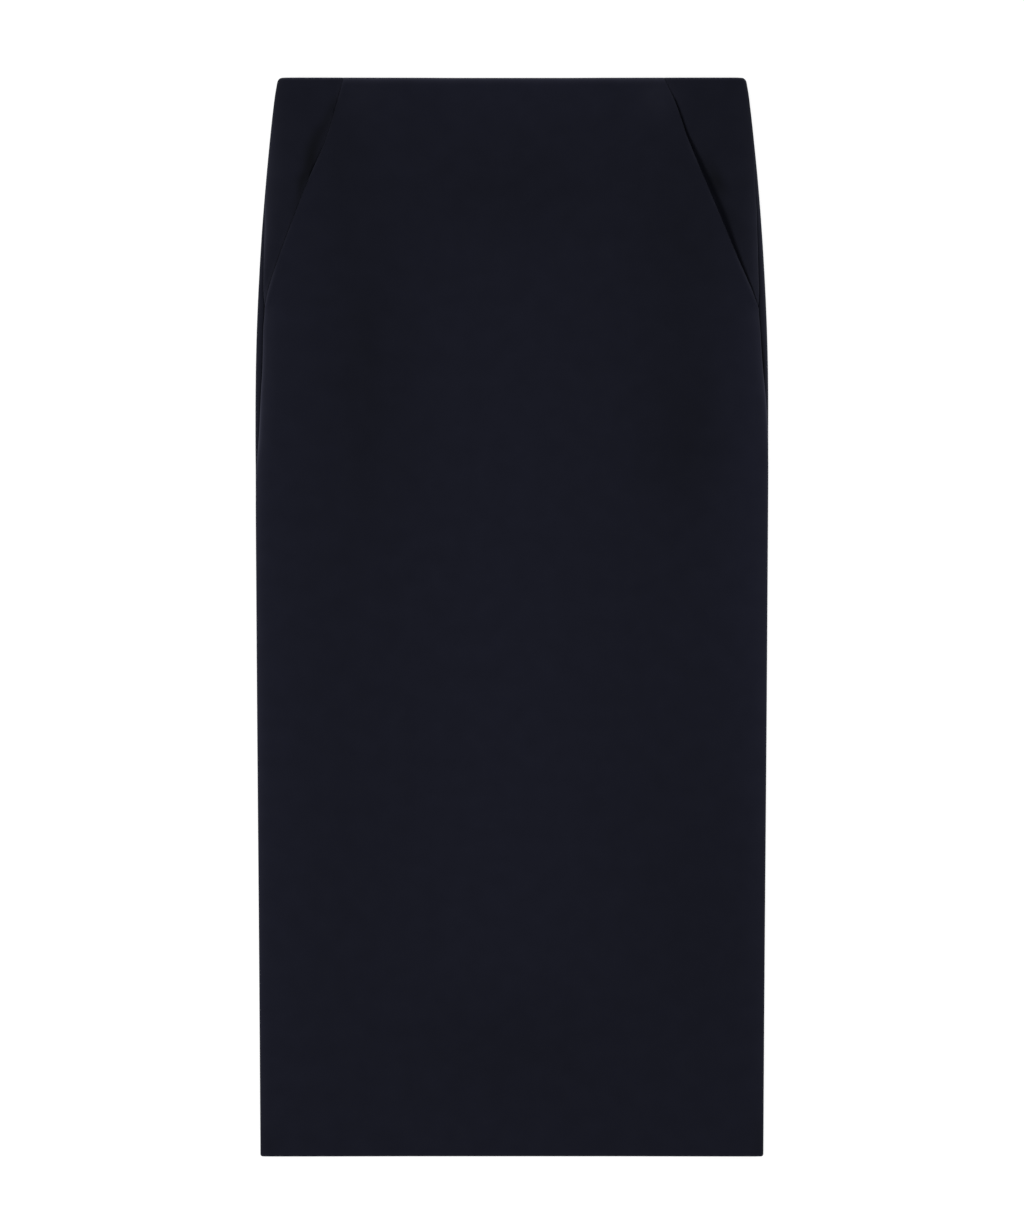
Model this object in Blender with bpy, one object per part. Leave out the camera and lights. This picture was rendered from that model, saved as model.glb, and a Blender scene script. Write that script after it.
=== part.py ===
"""A pencil skirt with slanted front pockets, laid flat on its back with its front side up.

X runs across the skirt, +Y from the hem to the waist edge, and +Z up from the surface
that the back panel lies on. The origin is on that surface, under the middle of the skirt.
"Left" is the -X side and "right" the +X side, as the skirt is seen from above.

A depth is a distance below the waist edge. Every panel is a wall of cloth through one
section for each depth: a rounded fold at each side joins the flat back to the front.
"""

import math
from collections import namedtuple

import bmesh
import bpy

# Driving sizes, in metres.
LENGTH = 0.880              # waist edge to hem
CLOTH = 0.0018              # wall of every panel: the cloth and its pressed turnings
SEAM_GAP = 0.0003           # between two panels that are sewn edge to edge
BACK_FOLD_RADIUS = 0.0034   # the back panel's turn up from the surface
CENTRE_TOP = 0.0040         # top of the front along the middle, where it lies on the back
SIDE_BULK = 0.0034          # how much higher the front rides over the side turnings
POCKET_BULK = 0.0024        # how much higher again where a pocket back lies under it
WAIST_CORNER_RADIUS = 0.004
HEM_CORNER_RADIUS = 0.002

# How the front falls from its crest at the side to the middle, inwards from the side.
SIDE_BULK_FLAT = 0.020
SIDE_BULK_END = 0.130
POCKET_BULK_FLAT = 0.108
POCKET_BULK_END = 0.150
POCKET_BULK_FADE = 0.330    # depth where the pocket's bulk starts to ease out
POCKET_BULK_FADE_RUN = 0.080

# Pockets.
MOUTH_END = 0.188           # depth where a pocket's mouth runs out into the side seam
BAG_DEPTH = 0.357           # depth of the pocket's bottom edge
BAG_CORNER = 0.045          # radius of the pocket's two bottom corners
BAG_SIDE_INSET = 0.010      # pocket back to the side, below the mouth
MOUTH_SLOPE = 0.014         # width of cloth that slopes down to the mouth
MOUTH_SLOPE_LEAST = 0.0035
MOUTH_LEAD = 0.0012         # how far outside the mouth that slope ends
POCKET_LAY = 0.0002         # more clearance of the pocket back below the front

CLOTH_COLOUR = (0.0095, 0.0101, 0.0159, 1.0)
CLOTH_ROUGHNESS = 0.85

# Half of the skirt's width as it lies, from the waist over the hips to the hem.
Outline = namedtuple("Outline", "depth half_width")
OUTLINE = (
    Outline(0.000, 0.1908),
    Outline(0.018, 0.1938),
    Outline(0.051, 0.1976),
    Outline(0.100, 0.2021),
    Outline(0.149, 0.2055),
    Outline(0.198, 0.2079),
    Outline(0.240, 0.2090),
    Outline(0.290, 0.2093),
    Outline(0.378, 0.2089),
    Outline(0.525, 0.2079),
    Outline(0.720, 0.2063),
    Outline(0.880, 0.2052),
)

# How far each side seam rolls onto the front, along the cloth from the outermost point.
SeamRoll = namedtuple("SeamRoll", "depth left right")
SEAM_ROLL = (
    SeamRoll(0.012, 0.0000, 0.0000),
    SeamRoll(0.035, 0.0006, 0.0014),
    SeamRoll(0.067, 0.0014, 0.0032),
    SeamRoll(0.092, 0.0020, 0.0052),
    SeamRoll(0.108, 0.0029, 0.0055),
    SeamRoll(0.125, 0.0044, 0.0064),
    SeamRoll(0.141, 0.0050, 0.0070),
    SeamRoll(0.157, 0.0059, 0.0076),
    SeamRoll(0.174, 0.0068, 0.0080),
    SeamRoll(0.190, 0.0086, 0.0090),
    SeamRoll(0.206, 0.0080, 0.0083),
    SeamRoll(0.222, 0.0082, 0.0077),
    SeamRoll(0.239, 0.0081, 0.0067),
    SeamRoll(0.255, 0.0072, 0.0050),
    SeamRoll(0.271, 0.0065, 0.0034),
    SeamRoll(0.288, 0.0056, 0.0019),
    SeamRoll(0.304, 0.0042, 0.0008),
    SeamRoll(0.320, 0.0022, 0.0000),
    SeamRoll(0.335, 0.0008, 0.0000),
    SeamRoll(0.365, 0.0000, 0.0000),
)

# The slanted mouths, as distances from the middle, and how far each stands open.
Mouth = namedtuple("Mouth", "depth left right left_gape right_gape")
MOUTH = (
    Mouth(0.000, 0.1375, 0.1242, 0.0002, 0.0002),
    Mouth(0.020, 0.1430, 0.1335, 0.0003, 0.0010),
    Mouth(0.050, 0.1521, 0.1439, 0.0004, 0.0018),
    Mouth(0.085, 0.1670, 0.1584, 0.0014, 0.0026),
    Mouth(0.120, 0.1808, 0.1731, 0.0004, 0.0026),
    Mouth(0.150, 0.1917, 0.1857, 0.0004, 0.0018),
    Mouth(0.175, 0.1996, 0.1968, 0.0004, 0.0009),
    Mouth(0.188, 0.2014, 0.2012, 0.0004, 0.0005),
)

# The front edge of each pocket back, hidden under the front, from the middle.
BAG_EDGE = {"left": 0.107, "right": 0.093}

SIDE_SIGN = {"left": -1.0, "right": 1.0}

# Sections: from the depth before to this one in equal steps.
Stretch = namedtuple("Stretch", "end steps")
STRETCHES = (
    Stretch(WAIST_CORNER_RADIUS, 3),
    Stretch(0.040, 3),
    Stretch(0.150, 10),
    Stretch(MOUTH_END, 4),
    Stretch(0.212, 3),
    Stretch(BAG_DEPTH - BAG_CORNER, 6),
    Stretch(BAG_DEPTH, 4),
    Stretch(0.420, 3),
    Stretch(LENGTH - HEM_CORNER_RADIUS, 6),
    Stretch(LENGTH, 2),
)

# Columns across the front, from a seam or a mouth to the middle.
FRONT_FOLD_STRETCH = 0.010  # evenly spaced columns that follow the fold
FRONT_FOLD_STEPS = 6
FRONT_REACH = 0.212         # the columns' whole run on the widest section
FRONT_FLAT_STEPS = 9
FRONT_FLAT_SPREAD = 1.5     # power by which the columns part towards the middle
BACK_FOLD_STEPS = 7
BACK_FLAT_STEPS = 3
POCKET_SLOPE_STEPS = 5
POCKET_HIDDEN_STEPS = 4
POCKET_SLOPE_RUN = 0.010    # least run of the closely spaced columns
POCKET_PAST_MOUTH = 0.002
POCKET_SETTLE = 0.030       # way under the front over which the gape closes
POCKET_HIDE_RUN = 0.030     # depth over which the pocket back leaves the side seam

FOLD_TURN = 3.0             # how fast the front fold eases out of its tight side
FOLD_SAMPLES = 80
SQUARE_STEP = 0.0002        # way to each side over which a section's direction is read
SHARP_EDGE_DEGREES = 40.0   # edges of the cloth stay crisp, its faces are shaded smooth


def smooth_step(value):
    """Rise gently from 0 to 1 as the value goes from 0 to 1."""
    held = min(max(value, 0.0), 1.0)
    return held * held * (3.0 - 2.0 * held)


def read_table(table, column, depth):
    """Read a column of a table at any depth, on a smooth curve through its rows."""
    last = len(table) - 1
    if depth <= table[0].depth:
        return getattr(table[0], column)
    if depth >= table[last].depth:
        return getattr(table[last], column)
    index = 0
    while table[index + 1].depth < depth:
        index += 1

    def slope(row):
        before = table[max(row - 1, 0)]
        after = table[min(row + 1, last)]
        rise = getattr(after, column) - getattr(before, column)
        return rise / (after.depth - before.depth)

    start = table[index]
    end = table[index + 1]
    span = end.depth - start.depth
    part = (depth - start.depth) / span
    square = part * part
    cube = square * part
    return (
        (2.0 * cube - 3.0 * square + 1.0) * getattr(start, column)
        + (cube - 2.0 * square + part) * span * slope(index)
        + (3.0 * square - 2.0 * cube) * getattr(end, column)
        + (cube - square) * span * slope(index + 1)
    )


def make_fold_curve():
    """Draw the front half of a side fold for a rise of 1, from upright cloth to level.

    The cloth's slope eases from 90 degrees to 0 as a power of the way along the fold.
    Each sample holds the way along the fold, the reach inwards and the rise.
    """
    way = 1.0 / FOLD_SAMPLES
    samples = [(0.0, 0.0, 0.0)]
    for step in range(FOLD_SAMPLES):
        middle = (step + 0.5) * way
        tilt = 0.5 * math.pi * (1.0 - middle) ** FOLD_TURN
        along, reach, rise = samples[-1]
        samples.append((along + way, reach + way * math.cos(tilt), rise + way * math.sin(tilt)))
    full_rise = samples[-1][2]
    return [tuple(value / full_rise for value in sample) for sample in samples]


FOLD_CURVE = make_fold_curve()
FOLD_WAY = FOLD_CURVE[-1][0]
FOLD_REACH = FOLD_CURVE[-1][1]


def read_fold(known, value, wanted):
    """Read one column of the fold curve where another column has the given value."""
    for before, after in zip(FOLD_CURVE, FOLD_CURVE[1:]):
        if value <= after[known]:
            part = (value - before[known]) / (after[known] - before[known])
            return before[wanted] + part * (after[wanted] - before[wanted])
    return FOLD_CURVE[-1][wanted]


def corner_pull(distance, radius):
    """Say how far a rounded corner draws the side in, near the end of the skirt."""
    if distance >= radius:
        return 0.0
    return radius - math.sqrt(radius * radius - (radius - distance) ** 2)


def half_width(depth):
    """Say how far the side lies from the middle at a depth."""
    width = read_table(OUTLINE, "half_width", depth)
    width -= corner_pull(depth, WAIST_CORNER_RADIUS)
    return width - corner_pull(LENGTH - depth, HEM_CORNER_RADIUS)


def pocket_bulk(depth):
    """Say how much a pocket raises the front at a depth, easing out below its bottom."""
    return POCKET_BULK * (1.0 - smooth_step((depth - POCKET_BULK_FADE) / POCKET_BULK_FADE_RUN))


def front_top(inset, depth):
    """Give the height of the front's upper face, at a distance in from the side."""
    side_share = 1.0 - smooth_step((inset - SIDE_BULK_FLAT) / (SIDE_BULK_END - SIDE_BULK_FLAT))
    pocket_run = POCKET_BULK_END - POCKET_BULK_FLAT
    pocket_share = 1.0 - smooth_step((inset - POCKET_BULK_FLAT) / pocket_run)
    return CENTRE_TOP + SIDE_BULK * side_share + pocket_bulk(depth) * pocket_share


def fold_rise(depth):
    """Give the height of the fold's front half, from the side's middle to the crest."""
    return front_top(0.0, depth) - BACK_FOLD_RADIUS


def section_point(way, depth):
    """Follow a section's outer face from the side: over the front, or under the back.

    The way is 0 at the outermost point of the fold. It grows over the front and is
    negative round the back. The result is a distance from the middle and a height.
    """
    width = half_width(depth)
    if way < 0.0:
        turn = -way / BACK_FOLD_RADIUS
        if turn < 0.5 * math.pi:
            inset = BACK_FOLD_RADIUS * (1.0 - math.cos(turn))
            return width - inset, BACK_FOLD_RADIUS * (1.0 - math.sin(turn))
        level_run = -way - 0.5 * math.pi * BACK_FOLD_RADIUS
        return width - BACK_FOLD_RADIUS - level_run, 0.0
    rise = fold_rise(depth)
    if way < FOLD_WAY * rise:
        inset = rise * read_fold(0, way / rise, 1)
        return width - inset, BACK_FOLD_RADIUS + rise * read_fold(0, way / rise, 2)
    inset = FOLD_REACH * rise + way - FOLD_WAY * rise
    return width - inset, front_top(inset, depth)


def way_at_inset(inset, depth):
    """Find the way along a section's front where it has come in by a given distance."""
    rise = fold_rise(depth)
    if inset < FOLD_REACH * rise:
        return rise * read_fold(1, inset / rise, 0)
    return inset - FOLD_REACH * rise + FOLD_WAY * rise


def seam_way(side, depth):
    """Find the way along a section where the side seam lies."""
    return max(read_table(SEAM_ROLL, side, depth), 0.0)


def mouth_way(side, depth):
    """Find the way along a section where the pocket's mouth lies."""
    return way_at_inset(half_width(depth) - read_table(MOUTH, side, depth), depth)


def section_wall(side, way, depth, sink=0.0, square_to=None):
    """Give the outer and inner point of a wall on a section, sunk below its outer face.

    The wall stands square to the section, at the point itself or at another way.
    """
    square = way if square_to is None else square_to
    ahead_x, ahead_z = section_point(square + SQUARE_STEP, depth)
    behind_x, behind_z = section_point(square - SQUARE_STEP, depth)
    run = math.hypot(ahead_x - behind_x, ahead_z - behind_z)
    out_x = (ahead_z - behind_z) / run
    out_z = (behind_x - ahead_x) / run
    x, z = section_point(way, depth)
    sign = SIDE_SIGN[side]
    y = LENGTH / 2.0 - depth
    outer = (sign * (x - sink * out_x), y, z - sink * out_z)
    deep = sink + CLOTH
    inner = (sign * (x - deep * out_x), y, z - deep * out_z)
    return outer, inner


def join_sides(left, right):
    """Join the walls of the two halves of a row, which share the one in the middle."""
    return left + right[-2::-1]


def even_steps(start, end, steps):
    """List the values from start to end in equal steps."""
    return [start + (end - start) * step / steps for step in range(steps + 1)]


def front_places():
    """Place the front's columns: close round the fold, parting towards the middle."""
    fold = even_steps(0.0, FRONT_FOLD_STRETCH, FRONT_FOLD_STEPS)
    run = FRONT_REACH - FRONT_FOLD_STRETCH
    parts = even_steps(0.0, 1.0, FRONT_FLAT_STEPS)[1:]
    return fold + [FRONT_FOLD_STRETCH + run * part ** FRONT_FLAT_SPREAD for part in parts]


def front_half_row(side, depth):
    """Lay half of the front's wall on a section, from its edge to the middle."""
    seam = seam_way(side, depth)
    edge = mouth_way(side, depth) if depth < MOUTH_END else seam + SEAM_GAP / 2.0
    square_to = edge if depth < MOUTH_END else seam
    middle = way_at_inset(half_width(depth), depth)
    scale = (middle - edge) / FRONT_REACH
    walls = [section_wall(side, edge + scale * place, depth) for place in front_places()]
    walls[0] = section_wall(side, edge, depth, square_to=square_to)
    return walls


def front_row(depth):
    """Lay the front's wall across one section, from its left edge to its right."""
    return join_sides(front_half_row("left", depth), front_half_row("right", depth))


def back_half_row(side, depth):
    """Lay half of the back's wall on a section, from its seam to the middle."""
    seam = seam_way(side, depth)
    edge = seam - SEAM_GAP / 2.0
    fold_end = -0.5 * math.pi * BACK_FOLD_RADIUS
    middle = fold_end - half_width(depth) + BACK_FOLD_RADIUS
    ways = even_steps(edge, fold_end, BACK_FOLD_STEPS)
    ways += even_steps(fold_end, middle, BACK_FLAT_STEPS)[1:]
    walls = [section_wall(side, way, depth) for way in ways]
    walls[0] = section_wall(side, edge, depth, square_to=seam)
    return walls


def back_row(depth):
    """Lay the back's wall across one section, from its left seam to its right."""
    return join_sides(back_half_row("left", depth), back_half_row("right", depth))


def bag_round_off(depth):
    """Say how far the pocket's rounded bottom corners draw its two edges in."""
    return corner_pull(max(BAG_DEPTH - depth, 0.0), BAG_CORNER)


def mouth_from_seam(side, depth):
    """Give the way from the side seam to the mouth, which is none below the mouth."""
    if depth >= MOUTH_END:
        return 0.0
    return max(mouth_way(side, depth) - seam_way(side, depth), 0.0)


def pocket_sink(side, way, depth):
    """Say how far the pocket back lies below the skirt's outer face.

    Outside the mouth it comes up to meet the side seam, and under the front it lies
    clear of the front's inner face.
    """
    gape = read_table(MOUTH, side + "_gape", depth)
    from_seam = way - seam_way(side, depth)
    mouth = mouth_from_seam(side, depth)
    slope = min(max(mouth, MOUTH_SLOPE_LEAST), MOUTH_SLOPE)
    closing = 1.0 - smooth_step((from_seam - mouth) / POCKET_SETTLE)
    full_sink = CLOTH + SEAM_GAP + POCKET_LAY + gape * closing
    return full_sink * smooth_step((from_seam - mouth + slope + MOUTH_LEAD) / slope)


def pocket_row(side, depth):
    """Lay a pocket back's wall on a section, from the side seam to its front edge."""
    seam = seam_way(side, depth)
    seam_edge = seam + SEAM_GAP / 2.0
    round_off = bag_round_off(depth)
    below_mouth = way_at_inset(BAG_SIDE_INSET + round_off, depth)
    hidden = smooth_step((depth - MOUTH_END) / POCKET_HIDE_RUN)
    edge = seam_edge + hidden * (below_mouth - seam_edge)
    end = way_at_inset(half_width(depth) - BAG_EDGE[side] - round_off, depth)
    past_mouth = seam + mouth_from_seam(side, depth) + POCKET_PAST_MOUTH
    turn = min(max(past_mouth, edge + POCKET_SLOPE_RUN), end)
    ways = even_steps(edge, turn, POCKET_SLOPE_STEPS)
    ways += even_steps(turn, end, POCKET_HIDDEN_STEPS)[1:]
    walls = [section_wall(side, way, depth, pocket_sink(side, way, depth)) for way in ways]
    if depth < MOUTH_END:
        sink = pocket_sink(side, edge, depth)
        walls[0] = section_wall(side, edge, depth, sink, square_to=seam)
    return walls


def wall_mesh(name, rows):
    """Skin the outer and inner points of a panel's rows into one closed wall."""
    work = bmesh.new()
    outer = [[work.verts.new(wall[0]) for wall in row] for row in rows]
    inner = [[work.verts.new(wall[1]) for wall in row] for row in rows]
    last_row = len(rows) - 1
    last_column = len(rows[0]) - 1
    for row in range(last_row):
        for column in range(last_column):
            corners = ((row, column), (row, column + 1), (row + 1, column + 1), (row + 1, column))
            work.faces.new([outer[place][across] for place, across in corners])
            work.faces.new([inner[place][across] for place, across in reversed(corners)])
    rim = [(0, column) for column in range(last_column)]
    rim += [(row, last_column) for row in range(last_row)]
    rim += [(last_row, column) for column in range(last_column, 0, -1)]
    rim += [(row, 0) for row in range(last_row, 0, -1)]
    for (row, column), (next_row, next_column) in zip(rim, rim[1:] + rim[:1]):
        near = (outer[row][column], inner[row][column])
        work.faces.new((outer[next_row][next_column], *near, inner[next_row][next_column]))
    if work.calc_volume(signed=True) < 0.0:
        bmesh.ops.reverse_faces(work, faces=work.faces)
    mesh = bpy.data.meshes.new(name)
    work.to_mesh(mesh)
    work.free()
    mesh.shade_smooth()
    mesh.set_sharp_from_angle(angle=math.radians(SHARP_EDGE_DEGREES))
    return mesh


def cloth_material(name):
    """Make the matt, near-black navy finish of one panel."""
    material = bpy.data.materials.new(name)
    material.use_nodes = True
    shader = material.node_tree.nodes["Principled BSDF"]
    shader.inputs["Base Color"].default_value = CLOTH_COLOUR
    shader.inputs["Roughness"].default_value = CLOTH_ROUGHNESS
    shader.inputs["Metallic"].default_value = 0.0
    return material


def add_panel(name, rows):
    """Put one panel into the scene with its own material."""
    mesh = wall_mesh(name, rows)
    mesh.materials.append(cloth_material(name + "_cloth"))
    panel = bpy.data.objects.new(name, mesh)
    bpy.context.scene.collection.objects.link(panel)
    return panel


def section_depths(deepest):
    """List the depths of the sections from the waist edge down to the deepest."""
    depths = [0.0]
    for stretch in STRETCHES:
        depths += even_steps(depths[-1], stretch.end, stretch.steps)[1:]
    return [depth for depth in depths if depth <= deepest + SEAM_GAP]


def build_skirt():
    """Clear the scene and add the skirt's four panels."""
    for old in list(bpy.data.objects):
        bpy.data.objects.remove(old, do_unlink=True)
    add_panel("front", [front_row(depth) for depth in section_depths(LENGTH)])
    add_panel("back", [back_row(depth) for depth in section_depths(LENGTH)])
    for side in ("left", "right"):
        rows = [pocket_row(side, depth) for depth in section_depths(BAG_DEPTH)]
        add_panel("pocket_back_" + side, rows)


build_skirt()
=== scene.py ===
# %% [markdown]
# # A pencil skirt, laid flat
#
# This lesson dresses a plain construction model of a skirt. The model gives four solid panels
# at their real size: the front, the back and two pocket backs. They carry the weight and the
# collisions, and here each one gets a sheet of real cloth that lies just where it does.
#
# The object is quiet: near-black navy cloth, two slanted pockets, two side seams and two
# straight edges. So everything hangs on a few things being right: the outline, the way each
# edge of cloth is folded, the dark gape of the pockets, and the tone of the cloth.

# %% Load the frame
import math
from collections import namedtuple

import bmesh
import bpy
import numpy as np
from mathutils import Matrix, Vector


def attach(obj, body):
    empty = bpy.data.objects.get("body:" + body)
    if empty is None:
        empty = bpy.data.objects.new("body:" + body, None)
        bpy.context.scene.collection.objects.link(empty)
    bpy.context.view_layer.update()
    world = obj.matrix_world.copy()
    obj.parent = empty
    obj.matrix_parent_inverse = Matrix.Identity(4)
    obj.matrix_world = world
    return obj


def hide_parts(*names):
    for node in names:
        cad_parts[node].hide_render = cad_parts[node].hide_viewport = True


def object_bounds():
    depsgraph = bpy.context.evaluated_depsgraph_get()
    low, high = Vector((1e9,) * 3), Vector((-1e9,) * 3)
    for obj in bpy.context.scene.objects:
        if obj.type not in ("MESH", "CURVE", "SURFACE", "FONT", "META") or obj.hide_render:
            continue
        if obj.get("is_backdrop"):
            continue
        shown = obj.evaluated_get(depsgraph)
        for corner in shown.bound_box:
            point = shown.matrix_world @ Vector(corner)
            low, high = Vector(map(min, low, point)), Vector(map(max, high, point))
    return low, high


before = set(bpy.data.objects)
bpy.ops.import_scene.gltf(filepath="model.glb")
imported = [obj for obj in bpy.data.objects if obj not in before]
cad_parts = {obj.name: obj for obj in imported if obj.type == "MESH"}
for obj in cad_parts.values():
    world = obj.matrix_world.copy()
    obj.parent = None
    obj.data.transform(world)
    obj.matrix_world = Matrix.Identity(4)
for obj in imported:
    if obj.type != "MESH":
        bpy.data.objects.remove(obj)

frame_low, frame_high = (list(corner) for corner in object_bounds())
print("panels to dress:", sorted(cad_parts))
print("frame box, mm:", [round(1000 * (b - a), 1) for a, b in zip(frame_low, frame_high)])

# %% [markdown]
# ## The sizes that everything follows
#
# A maker measures a skirt from its waist edge down, so every place here is a *depth* below that
# edge, and a *way* along the cloth from the skirt's outermost line: over the front where it is
# positive, and round the back where it is negative. The overall length is read from the frame,
# the widths are given in a table below, and the small sizes are those of medium-weight cloth and
# how it is sewn.

# %% Cloth and construction sizes, in metres
MM = 0.001
LENGTH = frame_high[1] - frame_low[1]
CLOTH = 0.85 * MM                 # thickness of one layer
FOLD_BEND = 0.50 * MM             # bend of the cloth's middle layer where an edge is turned in
EDGE_REACH = FOLD_BEND + CLOTH / 2
BACK_FOLD_RADIUS = 3.4 * MM
CENTRE_TOP = 4.0 * MM
SIDE_BULK = 3.4 * MM
POCKET_BULK = 2.4 * MM
WAIST_CORNER_RADIUS = 4 * MM
HEM_CORNER_RADIUS = 2 * MM
HEM_TURN_UP = 38 * MM
WAIST_FACING = 40 * MM
MOUTH_TURN_BACK = 14 * MM
SEAM_TURNING = 0.8 * MM
SEAM_GAP = 0.45 * MM
MOUTH_END = 188 * MM
BAG_DEPTH = 357 * MM
BAG_CORNER = 45 * MM
print(f"skirt {LENGTH:.3f} m long, cloth {CLOTH / MM:.2f} mm thick")

# %% [markdown]
# ## Short tables of marks
#
# The outline, the roll of the side seams and the line of the pocket mouths don't follow one
# formula: a cutter draws them as curves through a few marks. So they are tables with a row for
# each mark, and one function reads any column on a smooth curve. The same marks shape the
# solids underneath, so each sheet lands on its own panel. Two columns only paint: they say how
# bright the painted highlight along each side seam is.

# %% The outline, the seam rolls and the pocket mouths
def table(columns, *rows):
    """Makes a table with named columns."""
    row_kind = namedtuple("Row", columns)
    return tuple(row_kind(*row) for row in rows)


OUTLINE = table(
    "depth half_width",
    (0.000, 0.1908),
    (0.018, 0.1938),
    (0.051, 0.1976),
    (0.100, 0.2021),
    (0.149, 0.2055),
    (0.198, 0.2079),
    (0.240, 0.2090),
    (0.290, 0.2093),
    (0.378, 0.2089),
    (0.525, 0.2079),
    (0.720, 0.2063),
    (0.880, 0.2052),
)

SEAM_ROLL = table(
    "depth left right left_shine right_shine",
    (0.012, 0.0000, 0.0000, 0.00, 0.03),
    (0.035, 0.0006, 0.0014, 0.06, 0.05),
    (0.067, 0.0014, 0.0032, 0.19, 0.06),
    (0.092, 0.0020, 0.0052, 0.38, 0.11),
    (0.108, 0.0029, 0.0055, 0.57, 0.18),
    (0.125, 0.0044, 0.0064, 0.68, 0.18),
    (0.141, 0.0050, 0.0070, 0.50, 0.20),
    (0.157, 0.0059, 0.0076, 0.26, 0.14),
    (0.174, 0.0068, 0.0080, 0.08, 0.11),
    (0.190, 0.0086, 0.0090, 0.05, 0.11),
    (0.206, 0.0080, 0.0083, 0.11, 0.11),
    (0.222, 0.0082, 0.0077, 0.29, 0.18),
    (0.239, 0.0081, 0.0067, 0.37, 0.46),
    (0.255, 0.0072, 0.0050, 0.50, 0.88),
    (0.271, 0.0065, 0.0034, 0.62, 1.08),
    (0.288, 0.0056, 0.0019, 0.95, 1.00),
    (0.304, 0.0042, 0.0008, 1.04, 0.44),
    (0.320, 0.0022, 0.0000, 0.75, 0.34),
    (0.335, 0.0008, 0.0000, 0.20, 0.34),
    (0.365, 0.0000, 0.0000, 0.08, 0.25),
    (0.500, 0.0000, 0.0000, 0.08, 0.19),
)

MOUTH = table(
    "depth left right",
    (0.000, 0.1375, 0.1242),
    (0.020, 0.1430, 0.1335),
    (0.050, 0.1521, 0.1439),
    (0.085, 0.1670, 0.1584),
    (0.120, 0.1808, 0.1731),
    (0.150, 0.1917, 0.1857),
    (0.175, 0.1996, 0.1968),
    (0.188, 0.2014, 0.2012),
)

SIDES = {"left": -1.0, "right": 1.0}


def read(table, column, depth):
    """Reads one column of a table at any depths, on a smooth curve through its rows."""
    marks = np.array([row.depth for row in table])
    values = np.array([getattr(row, column) for row in table])
    slopes = np.empty_like(values)
    slopes[1:-1] = (values[2:] - values[:-2]) / (marks[2:] - marks[:-2])
    slopes[0] = (values[1] - values[0]) / (marks[1] - marks[0])
    slopes[-1] = (values[-1] - values[-2]) / (marks[-1] - marks[-2])
    held = np.clip(depth, marks[0], marks[-1])
    row = np.clip(np.searchsorted(marks, held) - 1, 0, len(marks) - 2)
    span = marks[row + 1] - marks[row]
    part = (held - marks[row]) / span
    return (
        (2 * part**3 - 3 * part**2 + 1) * values[row]
        + (part**3 - 2 * part**2 + part) * span * slopes[row]
        + (3 * part**2 - 2 * part**3) * values[row + 1]
        + (part**3 - part**2) * span * slopes[row + 1]
    )


def ease(value):
    """Rises gently from 0 to 1 as the value goes from 0 to 1."""
    held = np.clip(value, 0.0, 1.0)
    return held * held * (3.0 - 2.0 * held)


for level in (0.0, 0.28, LENGTH):
    print(f"width at {level:.2f} m: {2 * read(OUTLINE, 'half_width', level):.3f} m")

# %% [markdown]
# ## One section through the skirt
#
# Cut across, the skirt is a flat loop: the back lies on the table, turns up at each side in a
# round fold, and the front comes back over it. The front half of the fold is not a circle:
# cloth that is pressed flat bends sharply at the very edge and eases out slowly, so its tilt is
# a power of the way along it. The curve is summed once, for a rise of 1, and then scaled.

# %% The outer face of the skirt, as a section
FOLD_TURN = 3.0                   # how fast the front half of the fold eases out
FOLD_PIECES = 200
fold_steps = (np.arange(FOLD_PIECES) + 0.5) / FOLD_PIECES
fold_tilt = 0.5 * np.pi * (1.0 - fold_steps) ** FOLD_TURN
full_rise = np.mean(np.sin(fold_tilt))
FOLD_ALONG = np.linspace(0.0, 1.0, FOLD_PIECES + 1) / full_rise
FOLD_IN = np.concatenate(([0.0], np.cumsum(np.cos(fold_tilt)))) / FOLD_PIECES / full_rise
FOLD_UP = np.concatenate(([0.0], np.cumsum(np.sin(fold_tilt)))) / FOLD_PIECES / full_rise

# How the bulk of the layers inside eases out, inwards from the side and down from the waist.
SIDE_BULK_FLAT = 20 * MM
SIDE_BULK_RUN = 110 * MM
POCKET_BULK_FLAT = 108 * MM
POCKET_BULK_RUN = 42 * MM
POCKET_BULK_FADE = 330 * MM
POCKET_BULK_FADE_RUN = 80 * MM


def corner_pull(distance, radius):
    """How far a rounded corner draws the side in, close to the end of the skirt."""
    short = np.clip(radius - distance, 0.0, radius)
    return radius - np.sqrt(radius**2 - short**2)


def half_width(depth):
    """The distance from the middle to the side, with the rounded corners."""
    pull = corner_pull(depth, WAIST_CORNER_RADIUS)
    return read(OUTLINE, "half_width", depth) - pull - corner_pull(LENGTH - depth, HEM_CORNER_RADIUS)


def crest(inset, depth):
    """The height of the front: highest at the sides, and over the pocket backs."""
    side_share = 1.0 - ease((inset - SIDE_BULK_FLAT) / SIDE_BULK_RUN)
    pocket_share = 1.0 - ease((inset - POCKET_BULK_FLAT) / POCKET_BULK_RUN)
    pocket = POCKET_BULK * (1.0 - ease((depth - POCKET_BULK_FADE) / POCKET_BULK_FADE_RUN))
    return CENTRE_TOP + SIDE_BULK * side_share + pocket * pocket_share


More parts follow.
